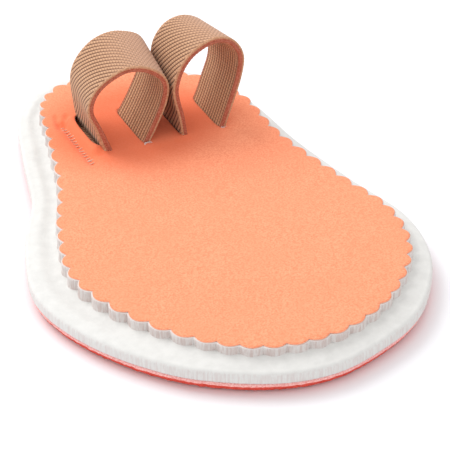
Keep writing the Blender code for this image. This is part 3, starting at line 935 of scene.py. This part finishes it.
# %% Top foam
TOP_FOAM_ROWS = (
    # height, outward bulge
    (7.54 * MM, -0.06 * MM),
    (7.48 * MM, 0.02 * MM),
    (7.10 * MM, 0.05 * MM),
    (6.70 * MM, 0.02 * MM),
    (6.20 * MM, 0.00 * MM),
    (5.80 * MM, 0.03 * MM),
    (5.40 * MM, 0.10 * MM),
    (5.02 * MM, 0.14 * MM),
)
TOP_FOAM_GRID = 1.2 * MM
FOAM_GAP = 0.45 * MM
FOAM_GAP_REACH = 5.0 * MM


def under_cover(point, height):
    """Return a height in the foam, pressed down where the cover dips."""
    top, bottom = TOP_FOAM_ROWS[0][0], TOP_FOAM_ROWS[-1][0]
    seam = (Vector((SEAM_X, SEAM_FRONT)), Vector((SEAM_X, SEAM_BACK)))
    gap = FOAM_GAP * near_line(point, *seam, FOAM_GAP_REACH)
    cover_foot = cover_height(point.x, point.y, EDGE_RUN) - COVER_CLOTH - gap
    return bottom + (height - bottom) * (min(top, cover_foot) - bottom) / (top - bottom)


def make_top_foam():
    """Make the scalloped foam layer with windows for the strap's flat runs."""
    windows = window_outlines()
    loops = [SCALLOPS, *windows]
    flat_points, triangles = filled(loops, grid_inside(loops, TOP_FOAM_GRID, TOP_FOAM_GRID / 2))
    edge_count = sum(len(loop) for loop in loops)
    points = []
    for height, bulge in TOP_FOAM_ROWS:
        for index, point in enumerate(flat_points[:edge_count]):
            level = height
            if index < len(SCALLOPS):
                here = Vector((point.x, point.y, height * SCORE_STRETCH))
                score = noise.noise(here / SCORE_WIDTH) * SCORE_DEPTH * 0.6
                point = point - SCALLOP_INWARD[index] * (bulge + score)
            else:
                level = under_cover(point, height)
            points.append(Vector((*point, level)))
    faces = []
    edges = loop_edges(loops)
    for row in range(len(TOP_FOAM_ROWS) - 1):
        above, below = row * edge_count, (row + 1) * edge_count
        faces += [(above + a, above + b, below + b, below + a) for a, b in edges]
    last = (len(TOP_FOAM_ROWS) - 1) * edge_count
    inner = flat_points[edge_count:]
    top_inner = len(points)
    points += [Vector((*point, under_cover(point, TOP_FOAM_ROWS[0][0]))) for point in inner]
    bottom_inner = len(points)
    points += [Vector((*point, TOP_FOAM_ROWS[-1][0])) for point in inner]
    for face in triangles:
        top = [c if c < edge_count else top_inner + c - edge_count for c in face]
        low = [last + c if c < edge_count else bottom_inner + c - edge_count for c in face]
        faces.append(tuple(top))
        faces.append(tuple(reversed(low)))
    mesh = bpy.data.meshes.new("top_foam")
    mesh.from_pydata(points, [], faces)
    foam = new_piece("top_foam", mesh, TOP_FOAM_FINISH, "top_pad")
    mesh.set_sharp_from_angle(angle=math.radians(50))
    return foam


top_foam = make_top_foam()
print("top foam:", len(top_foam.data.polygons), "faces")

# %% [markdown]
# ## Cover
# The suede cover is a thin sheet glued to the top foam, with four slits that the strap
# comes through. It takes its heights from the relief above, on a fine triangular grid.

# %% Cover
def make_cover():
    """Make the suede cover as one thin sheet with four slots."""
    slots = [slot_outline(slot) for slot in range(SLOT_COUNT)]
    loops = [COVER_EDGE, *slots]
    inner = grid_inside(loops, COVER_GRID, COVER_GRID * 0.45)
    flat_points, triangles = filled(loops, inner)
    to_edge = nearest(COVER_EDGE, np.array([tuple(point) for point in flat_points]))
    points = [
        Vector((*point, cover_height(point.x, point.y, gap)))
        for point, gap in zip(flat_points, to_edge)
    ]
    mesh = bpy.data.meshes.new("cover")
    mesh.from_pydata(points, [], triangles)
    cover = new_piece("cover", mesh, COVER_FINISH, "top_cover")
    mesh.materials.append(COVER_EDGE_LIGHT_FINISH)
    cloth = cover.modifiers.new("cloth", "SOLIDIFY")
    # The cut edge takes the paler finish: painted light.
    cloth.material_offset_rim = 1
    cloth.thickness = COVER_CLOTH
    cloth.offset = -1.0
    cover.modifiers.new("flat_normals", "WEIGHTED_NORMAL")
    return cover


cover = make_cover()
print("cover:", len(cover.data.polygons), "triangles")

# %% [markdown]
# ## Strap
# The strap is one long band. It starts as a hidden tail, comes up through the first
# slot, loops over to the second, runs under the cover to the third, loops again and ends
# in a hidden tail. Its two edges follow their own curves, so the loops lean and twist as
# the soft elastic does. The band's section, ribbed on both faces, is swept along them.

# %% Loop shapes
LEFT_LOOP_WIDTH = 17.4 * MM
LEFT_LOOP_HEIGHT = 18.4 * MM
RIGHT_LOOP_WIDTH = 16.0 * MM
RIGHT_LOOP_HEIGHT = 20.1 * MM
STRAP_BEND_RADIUS = 1.0 * MM
TAIL_HEIGHT = 5.9 * MM
BEND_STEPS = 10
LOOP_STEPS = 12
LEFT_LOOP = (
    # front across, front up, back across, back up
    (-0.67, 0.28, -0.56, 0.25),
    (-0.85, 0.50, -0.61, 0.48),
    (-0.82, 0.655, -0.55, 0.65),
    (-0.63, 0.79, -0.37, 0.79),
    (-0.30, 0.89, -0.07, 0.91),
    (0.06, 0.94, 0.32, 0.96),
    (0.46, 0.905, 0.69, 0.93),
    (0.83, 0.79, 1.02, 0.85),
    (0.99, 0.64, 1.16, 0.70),
    (0.92, 0.44, 1.06, 0.48),
    (0.72, 0.23, 0.78, 0.23),
)
RIGHT_LOOP = (
    (-0.59, 0.22, -0.51, 0.22),
    (-0.72, 0.44, -0.54, 0.44),
    (-0.73, 0.58, -0.54, 0.60),
    (-0.59, 0.75, -0.45, 0.74),
    (-0.32, 0.89, -0.22, 0.86),
    (0.08, 0.98, 0.08, 0.91),
    (0.45, 1.00, 0.40, 0.90),
    (0.82, 0.93, 0.74, 0.82),
    (1.04, 0.76, 1.00, 0.66),
    (0.97, 0.54, 1.02, 0.44),
    (0.74, 0.26, 0.76, 0.21),
)


def bend_points(slot, side):
    """Return the strap's bend from its flat run up into a leg that leans outwards."""
    turn = math.pi / 2 + STRAP_LEAN
    end_height = TAIL_HEIGHT + STRAP_BEND_RADIUS * (1 - math.cos(turn))
    end_reach = (COVER_TOP - end_height) * math.tan(STRAP_LEAN)
    start_x = slot_x(slot) - side * (end_reach - STRAP_BEND_RADIUS * math.sin(turn))
    points = []
    for step in range(BEND_STEPS + 1):
        angle = turn * step / BEND_STEPS
        across = start_x - side * STRAP_BEND_RADIUS * math.sin(angle)
        points.append(Vector((across, TAIL_HEIGHT + STRAP_BEND_RADIUS * (1 - math.cos(angle)))))
    return points


def loop_edges_of(first_slot, rows, width, height, start, end):
    """Return a loop's front and back edges as (across, height) points."""
    middle = Vector(((slot_x(first_slot) + slot_x(first_slot + 1)) / 2, COVER_TOP))
    half = Vector((width / 2, height))
    feet = [Vector((slot_x(first_slot + side), COVER_TOP)) for side in (0, 1)]
    front = [middle + Vector((row[0], row[1])) * half for row in rows]
    back = [middle + Vector((row[2], row[3])) * half for row in rows]
    return [open_curve([start, feet[0], *edge, feet[1], end], LOOP_STEPS) for edge in (front, back)]


def strap_course():
    """Return the strap's front and back edges in space, and where they pass the slots."""
    fronts, backs, crossings = [], [], []

    def add(front_edge, back_edge, start_y, end_y):
        """Add a stretch whose front edge moves evenly from start_y to end_y."""
        for index, (front, back) in enumerate(zip(front_edge, back_edge)):
            y = start_y + (end_y - start_y) * index / max(1, len(front_edge) - 1)
            fronts.append(Vector((front.x, y, front.y)))
            backs.append(Vector((back.x, y + STRAP_WIDTH, back.y)))

    tail_start, tail_end = (Vector((across, TAIL_HEIGHT)) for across in (TAIL_LEFT, TAIL_RIGHT))
    add([tail_start], [tail_start], strap_front(0), strap_front(0))
    loops = (
        (0, LEFT_LOOP, LEFT_LOOP_WIDTH, LEFT_LOOP_HEIGHT),
        (2, RIGHT_LOOP, RIGHT_LOOP_WIDTH, RIGHT_LOOP_HEIGHT),
    )
    for slot, rows, width, height in loops:
        rise = bend_points(slot, -1)
        fall = bend_points(slot + 1, 1)[::-1]
        add(rise, rise, strap_front(slot), strap_front(slot))
        front, back = loop_edges_of(slot, rows, width, height, rise[-1], fall[0])
        crossings.append(len(fronts))
        add(front, back, strap_front(slot), strap_front(slot + 1))
        crossings.append(len(fronts) - 1)
        add(fall, fall, strap_front(slot + 1), strap_front(slot + 1))
    last = SLOT_COUNT - 1
    add([tail_end], [tail_end], strap_front(last), strap_front(last))
    return fronts, backs, crossings


# %% Walk along the strap in even steps
STATION_STEP = 0.26 * MM
PINCH_REACH = 8.0 * MM


def stations():
    """Return even stations along the strap: distance, edges, and where each loop runs."""
    fronts, backs, crossings = strap_course()
    middles = [(front + back) / 2 for front, back in zip(fronts, backs)]
    passed = [0.0]
    for before, after in zip(middles, middles[1:]):
        passed.append(passed[-1] + (after - before).length)
    even = np.linspace(0, passed[-1], int(passed[-1] / STATION_STEP) + 1)
    front = np.stack([np.interp(even, passed, [p[axis] for p in fronts]) for axis in range(3)], 1)
    back = np.stack([np.interp(even, passed, [p[axis] for p in backs]) for axis in range(3)], 1)
    for crossing, (*_, pinch) in zip(crossings, SLOT_GAPES):
        back[:, 1] -= pinch * np.exp(-((even - passed[crossing]) / PINCH_REACH) ** 2)
    feet = [passed[crossing] for crossing in crossings]
    return even, front, back, list(zip(feet[::2], feet[1::2]))


def unit(vectors):
    """Return rows of vectors scaled to length one."""
    return vectors / np.linalg.norm(vectors, axis=1, keepdims=True)


walked, strap_fronts, strap_backs, loop_walks = stations()
print("strap:", round(walked[-1] / MM), "mm long,", len(walked), "stations")

# %% Strap section
COLUMN_COUNT = 72
SELVEDGE = 0.5 * MM
EDGE_SHADE_SHARE = 0.35
BEAD_RISE = 0.07 * MM
BEAD_PITCH = 0.7 * MM
TWILL_DEPTH = 0.15 * MM
RIB_HEIGHT = 0.16 * MM
STITCH_RISE = 0.035 * MM
FOOT_SWELL = 0.45
FOOT_REACH = 5.0 * MM
CLOSING = (0.35, 0.6)
CLOSED_SHARE = 0.8
FACE_SLOT, BACK_SLOT, RIM_SLOT, EDGE_SHADE_SLOT = range(4)
SELVEDGE_SECTION = (
    # in from the edge, height as a share of half the thickness
    (0.14 * MM, 0.0),
    (0.10 * MM, 0.30),
    (0.00 * MM, 0.45),
    (0.02 * MM, 0.78),
    (0.16 * MM, 0.97),
    (0.34 * MM, 1.0),
)


def section_columns():
    """Return the section's points in order, each as distance across and height."""
    half = STRAP_THICKNESS / 2
    rim = [(inset, half * up) for inset, up in SELVEDGE_SECTION]
    flat = [(place, half) for place in np.linspace(SELVEDGE, STRAP_WIDTH - SELVEDGE,
                                                   COLUMN_COUNT + 1)]
    outer = rim + flat + [(STRAP_WIDTH - place, height) for place, height in rim[::-1]]
    return outer + [(place, -height) for place, height in outer[-2:0:-1]]


def strip_slot(place, height):
    """Return the finish of the strip at a place of the section."""
    if SELVEDGE < place < STRAP_WIDTH - SELVEDGE:
        return FACE_SLOT if height > 0 else BACK_SLOT
    # Below this share of its height the edge takes the painted shade.
    return EDGE_SHADE_SLOT if height < EDGE_SHADE_SHARE * STRAP_THICKNESS / 2 else RIM_SLOT


def cords_apart():
    """Return how far the outer cords stand apart along the strap, from 0 to 1."""
    apart = []
    for distance in walked:
        in_loop = [(distance - start) / (end - start) for start, end in loop_walks]
        past_top = [soft_step(share, *CLOSING) for share in in_loop if 0 < share < 1]
        apart.append(1 - CLOSED_SHARE * sum(past_top))
    return np.array(apart)


def face_relief(place, height, apart):
    """Return how far the knit moves a column of the section out or in, all along it."""
    if place < SELVEDGE or place > STRAP_WIDTH - SELVEDGE:
        return np.zeros(len(walked))
    if height > 0:
        turn = math.tau * (place + TWILL_SLOPE * walked) / TWILL_PITCH
        return -TWILL_DEPTH * apart * np.clip((np.cos(turn) + 0.1) / 1.1, 0, 1)
    off_crest = abs((place / RIB_PITCH) % 1 - 0.5)
    groove = RIB_HEIGHT * (1 - math.sqrt(1 - (2 * off_crest) ** 2))
    chain = math.tau * (walked / CHAIN_PITCH + CHAIN_SLANT * off_crest)
    return groove - STITCH_RISE * np.sin(chain)


def make_strap():
    """Make the knitted band by sweeping its section along both edges."""
    slope_front = unit(np.gradient(strap_fronts, axis=0))
    slope_back = unit(np.gradient(strap_backs, axis=0))
    width = strap_backs - strap_fronts
    across = unit(width)
    columns = section_columns()
    apart = cords_apart()
    swell = 1 + FOOT_SWELL * np.exp(-((walked - loop_walks[0][0]) / FOOT_REACH) ** 2)
    rings, maps, openness = [], [], []
    for place, height in columns:
        share = place / STRAP_WIDTH
        slope = unit(slope_front * (1 - share) + slope_back * share)
        normal = unit(np.cross(slope, across))
        lift = height * swell + face_relief(place, height, apart)
        shift = np.zeros(len(walked))
        if min(place, STRAP_WIDTH - place) < SELVEDGE / 2 and height != 0:
            outward = math.copysign(BEAD_RISE, share - 0.5)
            shift = outward * np.sin(math.tau * walked / BEAD_PITCH)
        rings.append(strap_fronts + width * share + across * shift[:, None]
                     + normal * lift[:, None])
        maps.append(np.stack([walked / MM, np.full(len(walked), place / MM)], 1))
        openness.append(apart if height > 0 else np.ones(len(walked)))
    slots = [strip_slot((columns[index - 1][0] + place) / 2, (columns[index - 1][1] + height) / 2)
             for index, (place, height) in enumerate(columns)]
    mesh = sweep_mesh("strap", np.stack(rings, 1), np.stack(maps, 1), slots[1:] + slots[:1])
    kept = mesh.attributes.new("cords_apart", "FLOAT", "POINT")
    kept.data.foreach_set("value", np.stack(openness, 1).ravel())
    return mesh


def sweep_mesh(name, points, uv, slots):
    """Return the closed mesh of a swept section, with its map and each strip's finish."""
    rows, around = points.shape[:2]
    faces = []
    for row in range(rows - 1):
        for column in range(around):
            following = (column + 1) % around
            a, b = row * around + column, row * around + following
            faces.append((a, b, b + around, a + around))
    face_slots = slots * (rows - 1) + [EDGE_SHADE_SLOT, EDGE_SHADE_SLOT]
    faces.append(tuple(range(around)))
    faces.append(tuple(reversed(range((rows - 1) * around, rows * around))))
    mesh = bpy.data.meshes.new(name)
    mesh.from_pydata(points.reshape(-1, 3).tolist(), [], faces)
    layer = mesh.uv_layers.new(name="along_and_across")
    corner_points = np.zeros(len(mesh.loops), np.int32)
    mesh.loops.foreach_get("vertex_index", corner_points)
    layer.data.foreach_set("uv", uv.reshape(-1, 2)[corner_points].astype(np.float32).ravel())
    mesh.polygons.foreach_set("material_index", face_slots)
    return mesh


strap = new_piece("strap", make_strap(), ELASTIC_FACE, "toe_strap")
for finish in (ELASTIC_BACK_PAINTED_LIGHTER, RIM_FINISH, EDGE_SHADE_FINISH):
    strap.data.materials.append(finish)
print("strap:", len(strap.data.polygons), "faces")

# %% [markdown]
# ## Seam and frayed ends
# A short seam through cover and strap holds the tail. It shows as a ladder of small
# stitches, pulled tight into the soft foam. Where the slits were cut, a few white fibres
# of the foam stand out at their near ends. All of these are thin round tubes.

# %% Threads
TICK_COUNT = 16
TICK_WIDTH = 1.25 * MM
THREAD_RADIUS = 0.17 * MM
FRAY_RADIUS = 0.05 * MM
FRAYS = (
    # slot, number of fibres, spread
    (1, 10, 1.4 * MM),
    (3, 5, 0.8 * MM),
)
chance = random.Random(5)


def thread_mesh(name, paths, radius):
    """Return thin round tubes along several paths, as one mesh."""
    curve = bpy.data.curves.new(name, "CURVE")
    curve.dimensions = "3D"
    curve.bevel_depth = radius
    curve.bevel_resolution = 2
    curve.use_fill_caps = True
    for path in paths:
        spline = curve.splines.new("POLY")
        spline.points.add(len(path) - 1)
        for point, place in zip(spline.points, path):
            point.co = (*place, 1.0)
    drawn = bpy.data.objects.new(name + "_path", curve)
    bpy.context.scene.collection.objects.link(drawn)
    bpy.context.view_layer.update()
    evaluated = drawn.evaluated_get(bpy.context.evaluated_depsgraph_get())
    mesh = bpy.data.meshes.new_from_object(evaluated)
    bpy.data.objects.remove(drawn)
    mesh.name = name
    return mesh


def new_thread(name, mesh, finish):
    """Return a piece of thread that lies on the cover."""
    thread = bpy.data.objects.new(name, mesh)
    bpy.context.scene.collection.objects.link(thread)
    mesh.materials.append(finish)
    mesh.shade_smooth()
    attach(thread, "root")
    return thread


def seam_stitches():
    """Return the ladder of stitches, each a little different."""
    stitches = []
    for tick in range(TICK_COUNT):
        y = SEAM_FRONT + (SEAM_BACK - SEAM_FRONT) * (tick + 0.5) / TICK_COUNT
        width = TICK_WIDTH * chance.uniform(0.75, 1.1)
        slant = chance.uniform(-0.25, 0.25) * MM
        middle = SEAM_X + chance.uniform(-0.12, 0.12) * MM
        stitch = []
        for share in (-0.5, -0.4, -0.2, 0.0, 0.2, 0.4, 0.5):
            x = middle + share * width
            along = y + slant * share
            sunk = THREAD_RADIUS * (0.5 - 1.6 * abs(2 * share) ** 3)
            stitch.append((x, along, cover_height(x, along, 1.0) + sunk))
        stitches.append(stitch)
    return stitches


def frayed_fibres():
    """Return short curved fibres at the near ends of the slits."""
    fibres = []
    for slot, count, spread in FRAYS:
        for _ in range(count):
            x = slot_x(slot) + chance.uniform(-1, 1) * STRAP_THICKNESS / 2
            y = strap_front(slot) - chance.uniform(0.0, 0.3) * MM
            lean = Vector((chance.uniform(-1, 1), chance.uniform(-1, 0.1))) * spread / 2
            fibres.append([
                (x + lean.x * share, y + lean.y * share,
                 cover_height(x, y, 1.0) + FRAY_RADIUS + 0.25 * MM * math.sin(math.pi * share))
                for share in (0.0, 0.3, 0.6, 0.9)])
    return fibres


seam = new_thread("seam", thread_mesh("seam", seam_stitches(), THREAD_RADIUS), THREAD_FINISH)
frays = new_thread("frayed_fibres", thread_mesh("frayed_fibres", frayed_fibres(), FRAY_RADIUS),
                   FRAY_FINISH)
print("threads:", len(seam.data.polygons) + len(frays.data.polygons), "faces")

# %% [markdown]
# ## Studio
# The picture was taken on a white sweep in soft light. A wide light high behind the pad
# and to its left gives the loops their soft shadow towards the camera. An even white sky
# fills the rest. Together they light the floor to just past white.

# %% Floor, light and tone
FLOOR_REACH = 3.0


def make_floor():
    """Make the white floor."""
    mesh = bpy.data.meshes.new("floor")
    corners = [(x * FLOOR_REACH, y * FLOOR_REACH, 0) for x, y in ((-1, -1), (1, -1), (1, 1), (-1, 1))]
    mesh.from_pydata(corners, [], [(0, 1, 2, 3)])
    floor = bpy.data.objects.new("floor", mesh)
    bpy.context.scene.collection.objects.link(floor)
    finish, _, shader = new_finish("white_sweep", 0.45, 0.4)
    shader.inputs["Base Color"].default_value = linear("#F1F2F5")
    mesh.materials.append(finish)
    return floor


def make_light(name, place, target, size, power):
    """Add a square soft light that faces a point."""
    data = bpy.data.lights.new(name, "AREA")
    data.shape = "SQUARE"
    data.size = size
    data.energy = power
    light = bpy.data.objects.new(name, data)
    light.location = place
    light.rotation_euler = (Vector(target) - Vector(place)).to_track_quat("-Z", "Y").to_euler()
    bpy.context.scene.collection.objects.link(light)
    return light


floor = make_floor()
key_light = make_light("key_light", (-0.28, 0.50, 0.62), (0, 0.01, 0), 0.6, 4.3)
sky = bpy.data.worlds.new("sky")
sky.use_nodes = True
sky.node_tree.nodes["Background"].inputs["Color"].default_value = linear("#FFFFFF")
sky.node_tree.nodes["Background"].inputs["Strength"].default_value = 1.02
bpy.context.scene.world = sky
bpy.context.scene.view_settings.view_transform = "Standard"
